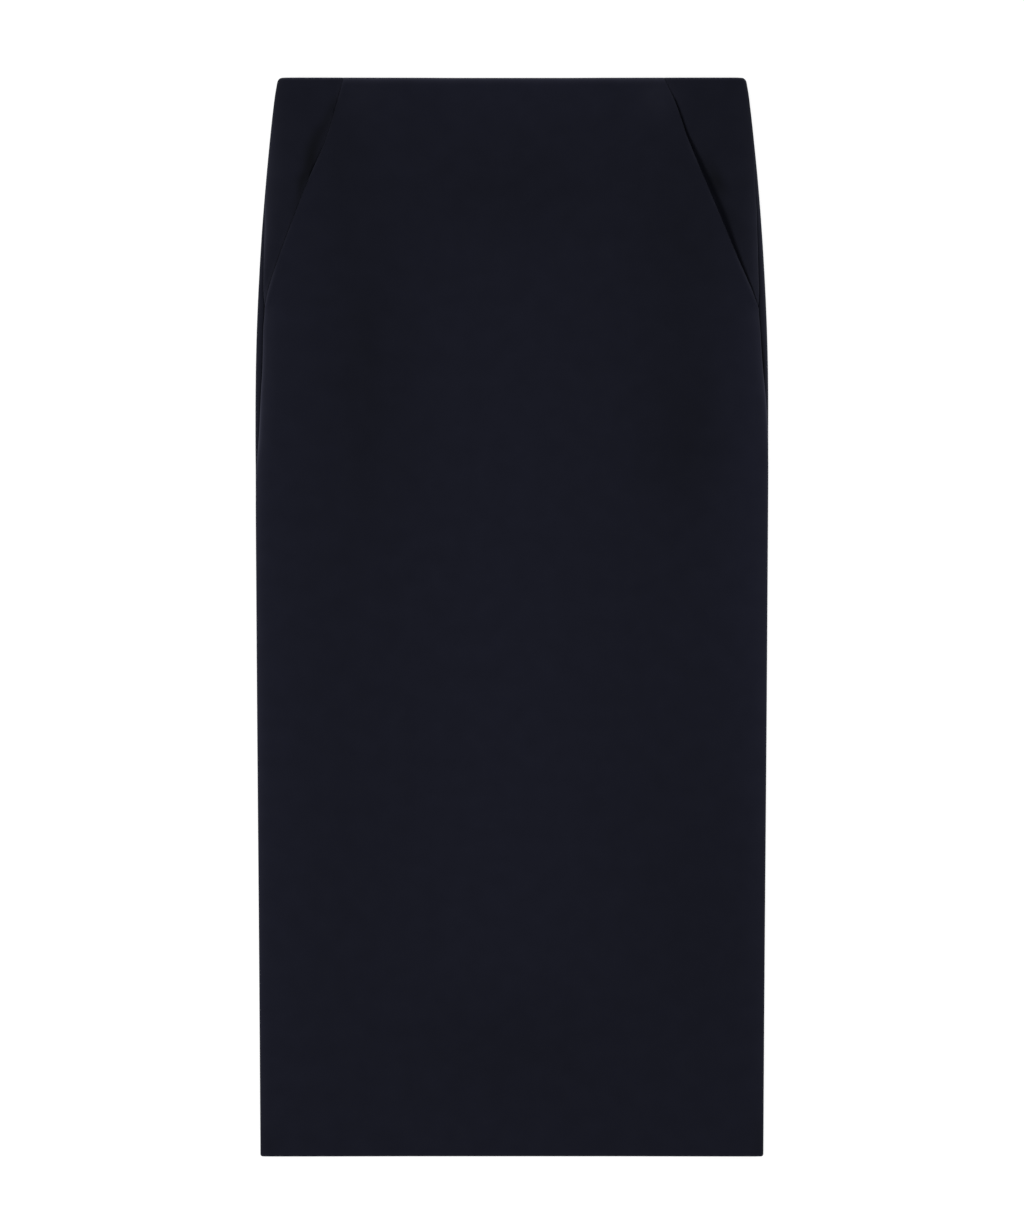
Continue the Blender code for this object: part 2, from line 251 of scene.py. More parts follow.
def section(way, depth):
    """The distance from the middle and the height of the outer face, at a way and a depth."""
    width = half_width(depth)
    rise = crest(0.0, depth) - BACK_FOLD_RADIUS
    turn = np.clip(-way / BACK_FOLD_RADIUS, 0.0, 0.5 * np.pi)
    level_run = np.maximum(-way - 0.5 * np.pi * BACK_FOLD_RADIUS, 0.0)
    under_x = width - BACK_FOLD_RADIUS * (1.0 - np.cos(turn)) - level_run
    under_z = BACK_FOLD_RADIUS * (1.0 - np.sin(turn))
    fold_x = width - rise * np.interp(way / rise, FOLD_ALONG, FOLD_IN)
    fold_z = BACK_FOLD_RADIUS + rise * np.interp(way / rise, FOLD_ALONG, FOLD_UP)
    inset = FOLD_IN[-1] * rise + way - FOLD_ALONG[-1] * rise
    past_fold = way >= FOLD_ALONG[-1] * rise
    over_x = np.where(past_fold, width - inset, fold_x)
    over_z = np.where(past_fold, crest(inset, depth), fold_z)
    return np.where(way < 0.0, under_x, over_x), np.where(way < 0.0, under_z, over_z)


def way_at(inset, depth):
    """The way along the front where it has come in from the side by a distance."""
    rise = crest(0.0, depth) - BACK_FOLD_RADIUS
    in_fold = rise * np.interp(inset / rise, FOLD_IN, FOLD_ALONG)
    past_fold = inset - FOLD_IN[-1] * rise + FOLD_ALONG[-1] * rise
    return np.where(inset < FOLD_IN[-1] * rise, in_fold, past_fold)


def seam_way(side, depth):
    """The way at which the side seam lies."""
    return np.maximum(read(SEAM_ROLL, side, depth), 0.0)


def mouth_way(side, depth):
    """The way at which the pocket's mouth lies: at the side seam below its end."""
    marked = way_at(half_width(depth) - read(MOUTH, side, depth), depth)
    return np.where(depth < MOUTH_END, np.maximum(marked, seam_way(side, depth)), seam_way(side, depth))


print("crest above the table, mm:", np.round(crest(0.0, np.array([0.1, 0.6])) / MM, 1))

# %% [markdown]
# ## Folded edges
#
# No edge of a good skirt is raw. The mouth, the waist edge and the hem are turned right back
# inside, and the side seams dip into a groove between two rolled edges. A sheet of cloth can
# follow that: it is a grid whose rows and columns run on past the edge, round a small bend, and
# back. One function gives that path, as a distance outwards and a depth below the outer face.

# %% The path of a turned edge
BEND_STEPS = 8


def turned_edge(turn, run, run_steps):
    """Follows the cloth's middle layer round an edge: how far out and how far below it is."""
    turn, run = np.broadcast_arrays(np.asarray(turn, float), np.asarray(run, float))
    angles = turn[..., None] * np.arange(BEND_STEPS + 1) / BEND_STEPS
    out = FOLD_BEND * np.sin(angles)
    below = CLOTH / 2 + FOLD_BEND * (1.0 - np.cos(angles))
    steps = run[..., None] * np.arange(1, run_steps + 1) / run_steps
    run_out = out[..., -1:] + np.cos(turn)[..., None] * steps
    run_below = below[..., -1:] + np.sin(turn)[..., None] * steps
    return np.concatenate((out, run_out), -1), np.concatenate((below, run_below), -1)


def graded(start, end, count, first_share):
    """Places from start to end whose steps grow; the first is a share of an even step."""
    part = np.arange(count + 1) / count
    spread = first_share * part + (1.0 - first_share) * part**2
    return start + (end - start) * spread


NEAR_WAIST = 12 * MM              # the rows lie closer together down to this depth
NEAR_HEM = 8 * MM                 # and over this length above the hem
NEAR_WAIST_STEPS = 10
NEAR_HEM_STEPS = 8
PANEL_ROWS = 196
POCKET_ROWS = 100
HIDDEN_STEPS = 6                  # rows of what is turned in


def length_rows(end, hemmed):
    """The depths and sinks of a panel's rows, from inside the waist edge down to its end."""
    out, below = turned_edge(np.pi, WAIST_FACING, HIDDEN_STEPS)
    near_waist = graded(EDGE_REACH, NEAR_WAIST, NEAR_WAIST_STEPS, first_share=0.6)[1:]
    depths = [EDGE_REACH - out[::-1], near_waist]
    sinks = [below[::-1], np.full(len(near_waist), CLOTH / 2)]
    if hemmed:
        down = np.linspace(NEAR_WAIST, end - NEAR_HEM, PANEL_ROWS)[1:]
        above_hem = graded(EDGE_REACH, NEAR_HEM, NEAR_HEM_STEPS, first_share=0.5)
        near_hem = (end - above_hem)[::-1][1:]
        hem_out, hem_below = turned_edge(np.pi, HEM_TURN_UP, HIDDEN_STEPS)
        depths += [down, near_hem, end - EDGE_REACH + hem_out[1:]]
        sinks += [np.full(len(down) + len(near_hem), CLOTH / 2), hem_below[1:]]
    else:
        down = np.linspace(NEAR_WAIST, end, POCKET_ROWS)[1:]
        depths.append(down)
        sinks.append(np.full(len(down), CLOTH / 2))
    return np.concatenate(depths), np.concatenate(sinks) - CLOTH / 2


panel_depths, panel_sinks = length_rows(LENGTH, hemmed=True)
pocket_depths, pocket_sinks = length_rows(BAG_DEPTH, hemmed=False)
print("rows down a panel:", len(panel_depths), "and down a pocket back:", len(pocket_depths))

# %% [markdown]
# ## From a grid to a sheet of cloth
#
# Each panel is made as one middle layer, a grid of points, and then gets its thickness to both
# sides along the grid's own normals. A Solidify modifier could do that as well, but here the
# grid also carries two things that the cloth's finish needs: a UV map in metres, so the weave
# follows the cloth round every fold, and two painted values: a painted highlight along edges and
# folds, and the tone, from its deepest colour to its lightest, with painted light and shade in it.

# %% Turning a grid into a sheet
SQUARE_STEP = 0.2 * MM            # way to each side over which a direction is read


def add_object(name, data):
    """Makes an object and links it to the scene."""
    thing = bpy.data.objects.new(name, data)
    bpy.context.scene.collection.objects.link(thing)
    return thing


def grid_normals(points):
    """The direction out of the cloth at each point of a grid."""
    across = np.gradient(points, axis=1)
    down = np.gradient(points, axis=0)
    normal = np.cross(down, across)
    return normal / np.linalg.norm(normal, axis=2, keepdims=True)


def lay_on_section(side, way, depth, sink, square_to=None):
    """Puts a grid on one side of the skirt, sunk below the outer face, square to it."""
    square = way if square_to is None else square_to
    ahead_x, ahead_z = section(square + SQUARE_STEP, depth)
    behind_x, behind_z = section(square - SQUARE_STEP, depth)
    run = np.hypot(ahead_x - behind_x, ahead_z - behind_z)
    x, z = section(way, depth)
    out_x = (ahead_z - behind_z) / run
    out_z = (behind_x - ahead_x) / run
    y = np.broadcast_to(LENGTH / 2 - depth, way.shape)
    return np.stack((SIDES[side] * (x - sink * out_x), y, z - sink * out_z), axis=-1)


def cloth_map(points):
    """The place of each point in the flat cloth, in metres from the middle and the top."""
    across = np.linalg.norm(np.diff(points, axis=1), axis=2)
    across = np.concatenate((np.zeros((len(points), 1)), np.cumsum(across, axis=1)), axis=1)
    nearest = np.argmin(np.abs(points[:, :, 0]), axis=1)
    across -= across[np.arange(len(points)), nearest][:, None]
    down = np.linalg.norm(np.diff(points, axis=0), axis=2).mean(axis=1)
    down = np.concatenate(([0.0], np.cumsum(down)))
    return np.stack((across, np.broadcast_to(-down[:, None], across.shape)), axis=-1)


def make_sheet(name, middle, values):
    """Builds a closed sheet of cloth round a grid, with its UV map and painted values."""
    normal = grid_normals(middle)
    rows, columns = middle.shape[:2]
    layers = [middle + normal * CLOTH / 2, middle - normal * CLOTH / 2]
    points = np.concatenate([layer.reshape(-1, 3) for layer in layers])
    index = np.arange(rows * columns).reshape(rows, columns)
    quads = np.stack((index[:-1, :-1], index[1:, :-1], index[1:, 1:], index[:-1, 1:]), -1)
    outer = quads.reshape(-1, 4)
    rim = np.concatenate((index[0, :-1], index[:-1, -1], index[-1, :0:-1], index[:0:-1, 0]))
    after = np.roll(rim, -1)
    under = rows * columns
    sides = np.stack((rim, after, after + under, rim + under), -1)
    faces = np.concatenate((outer, outer[:, ::-1] + under, sides))
    mesh = bpy.data.meshes.new(name)
    mesh.from_pydata(points.tolist(), [], faces.tolist())
    flat = np.tile(cloth_map(middle).reshape(-1, 2), (2, 1))
    corners = np.empty(len(mesh.loops), dtype=np.int32)
    mesh.loops.foreach_get("vertex_index", corners)
    mesh.uv_layers.new(name="cloth").data.foreach_set("uv", flat[corners].ravel())
    for key, grid in values.items():
        painted = mesh.attributes.new(key, "FLOAT", "POINT")
        painted.data.foreach_set("value", np.tile(grid.ravel(), 2).astype(np.float32))
    mesh.shade_smooth()
    mesh.update()
    sheet = add_object(name, mesh)
    work = bmesh.new()
    work.from_mesh(mesh)
    if work.calc_volume(signed=True) < 0.0:
        bmesh.ops.reverse_faces(work, faces=work.faces)
        work.to_mesh(mesh)
    work.free()
    box = np.ptp(points, axis=0) / MM
    print(f"{name}: {len(faces)} faces, {box[0]:.0f} x {box[1]:.0f} x {box[2]:.1f} mm")
    return sheet


# %% [markdown]
# ## How the cloth lies, in small
#
# Beside the main folds, cloth has quiet ones: a soft ridge where the side seam's turnings lie
# under it, a dip in the strip beyond the seam, and long shallow waves that a steam iron leaves
# behind. They are all fractions of a millimetre, and they are added as a lift towards the
# outside, so that the main form stays that of the solids.

# %% Small lifts of the cloth
WAVES = table(
    "x depth half_width half_length amount",
    (-0.060, 0.300, 0.030, 0.160, 0.00030),
    (0.055, 0.520, 0.040, 0.220, 0.00025),
    (-0.120, 0.640, 0.035, 0.200, 0.00030),
    (0.130, 0.760, 0.045, 0.120, -0.00030),
    (0.010, 0.820, 0.090, 0.050, -0.00025),
)


def add_spots(spots, x, depth):
    """Adds up soft spots, each full in its middle and fading out over its half sizes."""
    return sum(
        spot.amount * np.exp(
            -(((x - spot.x) / spot.half_width) ** 2) - ((depth - spot.depth) / spot.half_length) ** 2)
        for spot in spots)


RIDGE_HEIGHT = 0.25 * MM          # of a seam that lies at the very side
RIDGE_GAIN = 0.10                 # more height for each length that the seam rolls forward
RIDGE_MIDDLE = 2.2 * MM
RIDGE_WIDTH = 1.8 * MM
DIP_DEPTH = 0.6 * MM
DIP_FULL_ROLL = 4 * MM
DIP_WIDTH = 2.2 * MM


def seam_ridge(side, way, depth):
    """The ridge of turnings beside a side seam, strongest where the seam rolls forward."""
    away = way - seam_way(side, depth)
    strength = RIDGE_HEIGHT + RIDGE_GAIN * seam_way(side, depth)
    return strength * np.exp(-(((away - RIDGE_MIDDLE) / RIDGE_WIDTH) ** 2))


def seam_dip(side, way, depth):
    """How the back's strip beside a rolled seam lies lower than the ridge."""
    away = seam_way(side, depth) - way
    strength = DIP_DEPTH * ease(seam_way(side, depth) / DIP_FULL_ROLL)
    return strength * np.exp(-((away / DIP_WIDTH) ** 2))


print("highest wave, mm:", max(wave.amount for wave in WAVES) / MM)

# %% [markdown]
# ## How the pockets stand open
#
# Hands and hangers pull the two mouths of a skirt into different shapes. Here the right one
# stands open: its edge rises a little, and the pocket back slopes down to it over a centimetre
# and more, which leaves a dark gap. The left one lies shut, with its edge sunk into the cloth.
# One table for each says so, down the mouth, in millimetres: how far the pocket back hangs
# below the front, over what width it slopes down, how far outside the edge it is down, and the
# edge's own lift. The last column is how bright the painted highlight along the edge is.

# %% The gape of each mouth
OPENING = {
    "left": table(
        "depth gape slope lead lift shine",
        (0.012, 0.0, 2.6, -1.2, -0.50, 0.15),
        (0.022, 0.0, 2.6, -1.2, -0.60, 0.06),
        (0.035, 0.0, 2.6, -1.2, -0.60, 0.07),
        (0.047, 0.0, 2.6, -1.2, -0.60, 0.08),
        (0.059, 0.0, 2.6, -1.2, -0.60, 0.05),
        (0.067, 0.2, 3.0, -0.8, -0.20, 0.07),
        (0.075, 0.2, 4.0, -0.5, 0.00, 0.08),
        (0.084, 0.0, 2.6, -1.2, -0.40, 0.03),
        (0.093, 0.0, 2.6, -1.2, -0.40, 0.04),
        (0.104, 0.0, 2.6, -1.2, -0.45, 0.06),
        (0.116, 0.0, 2.6, -1.2, -0.55, 0.07),
        (0.133, 0.0, 2.6, -1.2, -0.40, 0.14),
        (0.150, 0.0, 2.6, -1.2, -0.30, 0.11),
        (0.170, 0.1, 2.8, -1.0, 0.00, 0.46),
        (0.188, 0.1, 2.8, -1.0, 0.00, 0.31),
    ),
    "right": table(
        "depth gape slope lead lift shine",
        (0.008, 0.0, 2.6, -1.2, -0.50, 0.08),
        (0.014, 0.4, 2.8, -0.8, -0.10, 0.11),
        (0.022, 1.6, 2.8, 0.0, 0.10, 0.06),
        (0.043, 1.7, 3.2, 0.2, 0.30, 0.03),
        (0.063, 2.8, 9.5, 0.5, 0.60, 0.15),
        (0.075, 3.2, 11.0, 0.7, 0.70, 0.02),
        (0.084, 3.4, 13.0, 0.9, 0.80, 0.02),
        (0.093, 3.6, 14.0, 1.0, 0.80, 0.04),
        (0.101, 3.6, 14.0, 1.0, 0.80, 0.11),
        (0.112, 3.6, 14.0, 1.0, 0.80, 0.02),
        (0.133, 2.5, 8.0, 0.6, 0.50, 0.02),
        (0.153, 1.8, 5.2, 0.3, 0.30, 0.23),
        (0.170, 0.7, 3.0, -0.2, 0.20, 0.37),
        (0.188, 0.2, 3.0, -0.8, 0.20, 0.15),
    ),
}
LIP_WIDTH = 5 * MM
LIP_FADE = 175 * MM
LIP_FADE_RUN = 20 * MM


def mouth_lip(side, way, depth):
    """How a pocket's mouth stands up off the cloth below it, or sinks towards it."""
    away = np.maximum(way - mouth_way(side, depth), 0.0)
    fading = 1.0 - ease((depth - LIP_FADE) / LIP_FADE_RUN)
    return MM * read(OPENING[side], "lift", depth) * fading * np.exp(-away / LIP_WIDTH)


for side, rows in OPENING.items():
    print(side, "mouth hangs open by up to", max(row.gape for row in rows), "mm")

# %% [markdown]
# ## The hollows beside the mouths
#
# Beside each mouth the cloth dips into a soft hollow that catches less light. So shallow a dip
# in near-black cloth hardly shows by its form, so most of it is painted: a table gives how far
# outside the edge its middle is and its half width, both in millimetres, and how much deeper
# the tone is. Where the edge is sunk, the hollow runs on over it, onto the front.

# %% The tone of each hollow
RIGHT_MIDDLE, RIGHT_WIDTH = 9.0, 6.5             # the same all down the right one
HOLLOWS = {
    "left": table(
        "depth middle width shade",
        (0.012, 2.0, 4.0, 0.00),
        (0.022, 2.0, 4.0, 0.22),
        (0.035, 3.5, 5.0, 0.26),
        (0.047, 7.0, 6.0, 0.34),
        (0.059, 7.0, 6.0, 0.46),
        (0.067, 4.8, 5.5, 0.50),
        (0.075, 3.2, 5.5, 0.44),
        (0.084, 3.9, 4.6, 0.44),
        (0.093, 2.4, 2.8, 0.34),
        (0.104, 2.0, 2.6, 0.14),
        (0.116, 2.0, 2.6, 0.00),
    ),
    "right": table(
        "depth middle width shade",
        *((depth, RIGHT_MIDDLE, RIGHT_WIDTH, shade) for depth, shade in (
            (0.022, 0.00), (0.043, 0.00), (0.063, 0.10), (0.075, 0.24), (0.084, 0.38), (0.093, 0.23),
            (0.101, 0.08), (0.112, 0.15), (0.133, 0.05), (0.153, 0.00), (0.170, 0.00),
        )),
    ),
}
HOLLOW_ON_FRONT = 2.5 * MM
SINK_THAT_JOINS = 0.6             # millimetres of sink with which the hollow runs on


def hollow_shade(side, way, depth):
    """How much deeper the tone is in the soft hollow along a pocket's mouth."""
    away = way - mouth_way(side, depth)
    amount = np.maximum(read(HOLLOWS[side], "shade", depth), 0.0) * (depth < MOUTH_END)
    middle, width = (MM * read(HOLLOWS[side], key, depth) for key in ("middle", "width"))
    sinks = np.clip(-read(OPENING[side], "lift", depth) / SINK_THAT_JOINS, 0.0, 1.0)
    beside = np.exp(-(((np.minimum(away, 0.0) + middle) / width) ** 2))
    on_front = sinks * np.exp(-((away / HOLLOW_ON_FRONT) ** 2))
    return amount * beside * np.where(away < 0.0, 1.0, on_front)


for side, rows in HOLLOWS.items():
    print(side, "hollow is deepest at", max(rows, key=lambda row: row.shade).depth, "m")

# %% [markdown]
# ## The front
#
# The front runs from edge to edge over the top. Down to the end of the pockets its edges are
# the two slanted mouths, turned right back inside. Below, they are the side seams, where the
# cloth only rolls down into the groove. The turn eases from one to the other, so the edge is
# one unbroken line, as it is when it is sewn.

# %% The edges of the front
TURN_STEPS = 4                    # columns of what is turned in at a seam or a mouth
MOUTH_EASE = 6 * MM               # how far above its end a mouth starts to become a seam
EASE_RUN = 10 * MM                # and over what length it does
BELOW_FACING = 2 * MM
SHORT_TURN = 0.1 * MM             # of a mouth inside the waist's facing
FACING_OPENS = 0.9                # how far a mouth's turn opens out again in there
IN_FACING = 0.1                   # from this share on, a row counts as inside the facing


def square_places(way, edge, below, seam_share):
    """Where each point takes its direction from: a seam's turning stands square at the seam."""
    turned = np.clip((below - CLOTH / 2) / FOLD_BEND, 0.0, 1.0) * seam_share
    return way + (edge - way) * turned


def with_turned_edge(edge, outward, turn, run, open_way):
    """Adds the columns turned in at an edge, and gives the way and the sink of them all."""
    out, below = turned_edge(np.broadcast_to(turn, len(edge)), run, TURN_STEPS)
    turned_way = edge + outward * EDGE_REACH - outward * out[:, :0:-1]
    way = np.concatenate((turned_way, open_way), axis=1)
    return way, np.concatenate((below[:, :0:-1], np.full(open_way.shape, CLOTH / 2)), axis=1)


mouth_share = 1.0 - ease((panel_depths - (MOUTH_END - MOUTH_EASE)) / EASE_RUN)
below_facing = ease((panel_depths - WAIST_FACING - BELOW_FACING) / EASE_RUN)
inside_waist = np.clip(panel_sinks / (2 * FOLD_BEND), 0.0, 1.0) * (panel_depths < 0.5 * LENGTH)
flap_share = mouth_share * below_facing
front_turn = 0.5 * np.pi * (1.0 + flap_share - FACING_OPENS * inside_waist * mouth_share)
front_run = SEAM_TURNING + flap_share * (MOUTH_TURN_BACK - SEAM_TURNING)
front_run = np.where(inside_waist * mouth_share > IN_FACING, SHORT_TURN, front_run)
print("a mouth is turned back by up to, mm:", round(float(front_run.max()) / MM, 1))

# %% [markdown]
# A thin painted highlight runs along every edge of the dark skirt, with a softer painted
# highlight beside it, stronger on one side than on the other. It stands for the light that a
# rounded edge catches, and it is painted into the colour because the bend is too small for the
# light in the room to bring it out by itself.

# %% Painted highlights along the edges
# painted highlights: a sharp line along each edge and a soft glow beside it
END_LINE = 0.46                   # how bright the line along the waist edge and the hem is
END_LINE_WIDTH = 1.45 * MM
WAIST_GLOW = 0.27
WAIST_GLOW_WIDTH = 3.1 * MM
HEM_GLOW = 0.08
HEM_GLOW_WIDTH = 1.5 * MM
LINE_FLAT = 0.4 * MM              # the line along a mouth or a seam: full out to here
LINE_WIDTH = 0.9 * MM
EDGE_GLOW = {"left": 0.29, "right": 0.19}
EDGE_GLOW_WIDTH = 4.5 * MM
GLOW_LOST = 0.7                   # share of the glow that fades out towards the hem
GLOW_FADES_BELOW = {"left": 280 * MM, "right": 450 * MM}
GLOW_FADE_RUN = 550 * MM


def end_shine(depth, waist, hem):
    """The painted highlight along the waist edge and the hem."""
    at_edge = END_LINE * np.exp(-((depth / END_LINE_WIDTH) ** 4))
    at_waist = at_edge + waist * np.exp(-((depth / WAIST_GLOW_WIDTH) ** 2))
    return at_waist + hem * np.exp(-(LENGTH - depth) / HEM_GLOW_WIDTH)


def front_shine(side, edge_distance, depth):
    """How much painted highlight the front gets: along its mouth above, and along its seam below."""
    share = mouth_share[:, None]
    lip = read(OPENING[side], "shine", depth)
    seam = read(SEAM_ROLL, side + "_shine", depth)
    away = np.abs(edge_distance)
    past_bend = np.maximum(away - LINE_FLAT, 0.0)
    sharp = (share * lip + (1.0 - share) * seam) * np.exp(-past_bend / LINE_WIDTH)
    fading = 1.0 - GLOW_LOST * ease((depth - GLOW_FADES_BELOW[side]) / GLOW_FADE_RUN)
    soft = (1.0 - share) * EDGE_GLOW[side] * fading * np.exp(-away / EDGE_GLOW_WIDTH)
    return sharp + soft + end_shine(depth, WAIST_GLOW, HEM_GLOW)


print("the waist edge's line is", round(float(end_shine(0.0, WAIST_GLOW, HEM_GLOW)), 2), "bright")

# %% [markdown]
# Half of the front is enough to describe, because the other half has the same columns with its
# own marks. The columns run from the turned edge to the middle, close together at the edge.

# %% Half of the front
FRONT_STEPS = 60
FIRST_STEP = 0.22                 # the first column's step, as a share of an even one


def front_half(side):
    """One half of the front's grid: from its turned edge to the middle."""
    depth = panel_depths[:, None]
    edge = mouth_way(side, depth) + SEAM_GAP / 2
    middle = way_at(half_width(depth), depth)
    open_way = graded(edge + EDGE_REACH, middle, FRONT_STEPS, FIRST_STEP)
    way, sink = with_turned_edge(edge, 1.0, front_turn, front_run, open_way)
    x = SIDES[side] * section(way, depth)[0]
    lift = seam_ridge(side, way, depth) + mouth_lip(side, way, depth) + add_spots(WAVES, x, depth)
    square = square_places(way, edge, sink, 1.0 - flap_share[:, None])
    sunk = sink + panel_sinks[:, None] - lift
    grid = lay_on_section(side, way, depth, sunk, square)
    return grid, front_shine(side, way - edge, depth), hollow_shade(side, way, depth)


def join_halves(left, right):
    """Joins the two halves of a grid, which share the column in the middle."""
    return np.concatenate((left, right[:, -2::-1]), axis=1)


front_left, shine_left, shade_left = front_half("left")
front_right, shine_right, shade_right = front_half("right")
front_middle = join_halves(front_left, front_right)
print("front grid:", front_middle.shape[0], "rows by", front_middle.shape[1], "columns")

# %% [markdown]
# Soft spots of painted light and shade lie over the front's tone: it is slightly lighter down
# the middle and along the sides, and slightly deeper where it lies over the pockets. A small
# painted highlight also sits at each top corner of the front. Such spots are soft and few, so
# short tables of them are enough.

# %% Painted light and shade over the front
PLAIN_TONE = 0.80                 # 0 is the deepest tone of the cloth and 1 the lightest
TONE_SWING = 0.20                 # the most that it drifts to each side
# soft spots of painted light and shade; the swing above is the most that they move the tone
TONE_AND_SHADE_SPOTS = table(
    "x depth half_width half_length amount",
    (-0.005, 0.520, 0.085, 0.400, 0.50),
    (-0.118, 0.230, 0.030, 0.130, -0.75),
    (-0.140, 0.060, 0.022, 0.070, -0.55),
    (0.145, 0.130, 0.050, 0.110, -0.75),
    (0.142, 0.295, 0.034, 0.060, -0.85),
    (0.150, 0.690, 0.050, 0.120, -0.35),
    (0.000, 0.785, 0.075, 0.045, -0.60),
    (0.030, 0.850, 0.110, 0.070, -0.20),
    (-0.205, 0.330, 0.030, 0.350, 0.40),
    (-0.200, 0.640, 0.030, 0.250, 0.40),
    (0.205, 0.330, 0.034, 0.250, 1.00),
    (0.207, 0.640, 0.014, 0.250, 0.40),
    (-0.204, 0.872, 0.012, 0.022, -0.80),
    (0.204, 0.872, 0.012, 0.024, -1.00),
    (0.000, 0.000, 0.080, 0.030, 0.50),
    (0.000, 0.090, 0.075, 0.042, -0.60),
)
# painted highlights at the top corners of the front, by the top of each mouth
CORNER_HIGHLIGHTS = table(
    "x depth half_width half_length amount",
    (0.119, 0.013, 0.014, 0.018, 0.08),
    (-0.121, 0.012, 0.014, 0.022, 0.04),
)


def spots_on(spots, points):
    """Adds up soft spots at the points of a grid."""
    return add_spots(spots, points[:, :, 0], LENGTH / 2 - points[:, :, 1])


front_tone_and_shade = PLAIN_TONE + TONE_SWING * np.clip(spots_on(TONE_AND_SHADE_SPOTS, front_middle), -1.0, 1.0)
front = make_sheet("front_panel", front_middle, {
    "painted_highlight": join_halves(shine_left, shine_right) + spots_on(CORNER_HIGHLIGHTS, front_middle),
    "tone_and_shade": front_tone_and_shade - join_halves(shade_left, shade_right),
})

# %% [markdown]
# ## The back
#
# The back is the simplest sheet: flat on the table, and turned up round the fold at each side
# until it meets the front at the side seam. Where the seam rolls forward, at the hips, a narrow
# strip of it comes into view from above. The strip gets a painted highlight towards the skirt's
# outline, and on the right a painted shade beside the seam, over the hip.

# %% The back panel
BACK_FOLD_STEPS = 16
BACK_FLAT_STEPS = 14
BACK_TONE = 0.74
STRIP_GLOW = {"left": 0.09, "right": 0.29}
STRIP_GLOW_WIDTH = 5 * MM
STRIP_GLOW_END = -3 * MM                         # how far round the side it goes
DEEP_GROOVE = {"left": 0.0, "right": 1.0}        # how much of the light the groove loses
DEEP_GROOVE_DEPTH = 231 * MM
DEEP_GROOVE_LENGTH = 16 * MM
DEEP_GROOVE_WIDTH = 2 * MM


def back_half(side):
    """One half of the back's grid: from its seam, under the skirt, to the middle."""
    depth = panel_depths[:, None]
    edge = seam_way(side, depth) - SEAM_GAP / 2
    fold_end = np.full_like(edge, -0.5 * np.pi * BACK_FOLD_RADIUS)
    part = np.arange(BACK_FOLD_STEPS + 1) / BACK_FOLD_STEPS
    fold_way = (edge - EDGE_REACH) * (1.0 - part) + fold_end * part
    middle = fold_end - half_width(depth) + BACK_FOLD_RADIUS
    flat_way = graded(fold_end, middle, BACK_FLAT_STEPS, first_share=0.3)[:, 1:]
    open_way = np.concatenate((fold_way, flat_way), axis=1)
    way, sink = with_turned_edge(edge, -1.0, 0.5 * np.pi, SEAM_TURNING, open_way)
    square = square_places(way, edge, sink, 1.0)
    sunk = sink + panel_sinks[:, None] + seam_dip(side, way, depth)
    away = seam_way(side, depth) - way
    # painted shade in the groove beside the seam, and a painted highlight on the strip
    over_hip = np.exp(-(((depth - DEEP_GROOVE_DEPTH) / DEEP_GROOVE_LENGTH) ** 2))
    groove = DEEP_GROOVE[side] * over_hip * np.exp(-((away / DEEP_GROOVE_WIDTH) ** 2))
    glow = STRIP_GLOW[side] * np.exp(-((np.maximum(way, 0.0) / STRIP_GLOW_WIDTH) ** 2))
    glow = glow * (way > STRIP_GLOW_END)
    tone_and_shade = BACK_TONE * (1.0 - groove)
    return lay_on_section(side, way, depth, sunk, square), glow * (1.0 - groove), tone_and_shade


back_left, glow_left, tone_and_shade_left = back_half("left")
back_right, glow_right, tone_and_shade_right = back_half("right")
back_middle = join_halves(back_left, back_right)
back = make_sheet("back_panel", back_middle, {
    "painted_highlight": join_halves(glow_left, glow_right),
    "tone_and_shade": join_halves(tone_and_shade_left, tone_and_shade_right),
})

# %% [markdown]
# ## The pocket backs
#
# What shows in a slanted pocket is the pocket's own back: it meets the side seam, slopes down
# to the mouth and runs on under the front. The slope is what makes the dark line of the mouth,
# because little light gets down between it and the front's turned edge. Below the mouth's end
# the pocket back leaves the side seam and ends in a bag with two round corners.

# %% The form of a pocket back
POCKET_SLOPE_STEPS = 30
POCKET_HIDDEN_STEPS = 14
POCKET_CLEARANCE = 0.7 * MM       # between the pocket back and the front over it
POCKET_SETTLE = 30 * MM           # way under the front over which the gape closes
SLOPE_LEAST = 3.0 * MM
SLOPE_CURVE = 0.09                # how much rounder a slope is for each millimetre of width
PAST_MOUTH = 3 * MM               # the slope's closely spaced columns run on to here
SLOPE_RUN = 10 * MM               # and cover at least this much
SLOPE_SHARE = 0.6                 # but no more of the pocket back's width than this
BAG_EDGE = {"left": 107 * MM, "right": 93 * MM}  # from the middle to the bag's front edge
BAG_SIDE_INSET = 10 * MM
POCKET_HIDE_RUN = 30 * MM


def pocket_below(side, way, depth):
    """How far a pocket back lies below the skirt's outer face."""
    keys = ("gape", "slope", "lead", "lift")
    gape, slope, lead, lift = (MM * read(OPENING[side], key, depth) for key in keys)
    from_seam = way - seam_way(side, depth)
    mouth = mouth_way(side, depth) - seam_way(side, depth)
    slope = np.minimum(slope, np.maximum(mouth + lead, SLOPE_LEAST))
    closing = 1.0 - ease((from_seam - mouth) / POCKET_SETTLE)
    deepest = 2 * CLOTH + POCKET_CLEARANCE + (gape + np.maximum(-lift, 0.0)) * closing
    part = ease((from_seam - mouth + slope + lead) / slope)
    return deepest * part ** (1.0 + SLOPE_CURVE * slope / MM)


